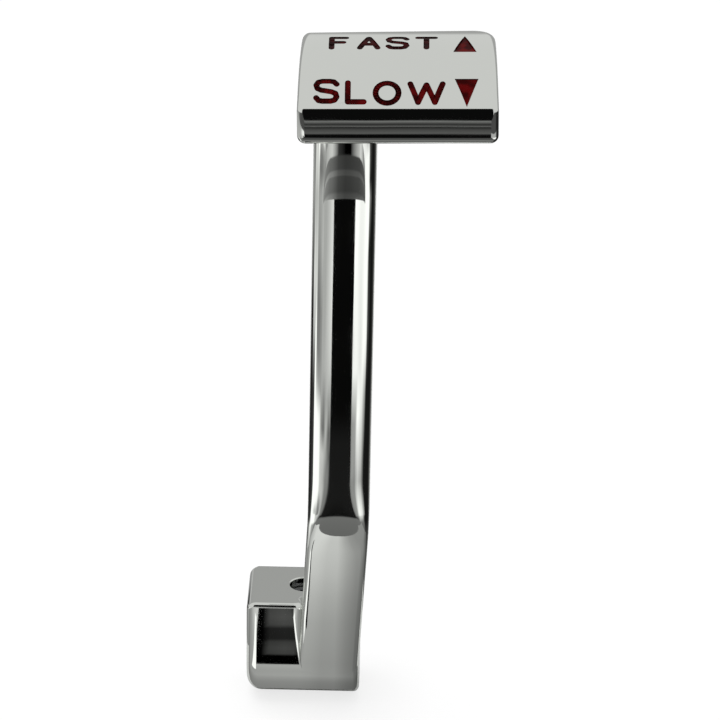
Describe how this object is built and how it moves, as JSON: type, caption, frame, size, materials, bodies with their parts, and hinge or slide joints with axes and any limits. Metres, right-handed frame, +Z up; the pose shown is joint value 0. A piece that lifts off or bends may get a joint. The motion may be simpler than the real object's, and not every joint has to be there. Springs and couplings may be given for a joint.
{
  "type": "boat throttle control lever",
  "caption": "Polished stainless lever for a boat engine's throttle: square clamp hub with round foot, bent arm and crowned offset hand plate with engraved speed marks.",
  "frame": {"origin": "on the axis of the control shaft, half way along the hub", "axes": "+X points outboard, away from the mouth of the shaft bore; -Y faces the helmsman; +Z runs up the lever to the hand plate"},
  "size_m": [0.0641, 0.0452, 0.1937],
  "materials": {
    "polished_steel": "mirror-polished stainless",
    "screw_steel": "plain stainless set screw"
  },
  "bodies": {
    "lever": {"clamp_hub": "polished_steel", "arm": "polished_steel", "hand_plate": "polished_steel"},
    "screw": {"clamp_screw": "screw_steel"}
  },
  "joints": [
    {"name": "clamp_screw_travel", "type": "slide", "parent": "lever", "child": "screw", "axis": [0, 0, 1], "range_m": [0, 0.004]}
  ]
}
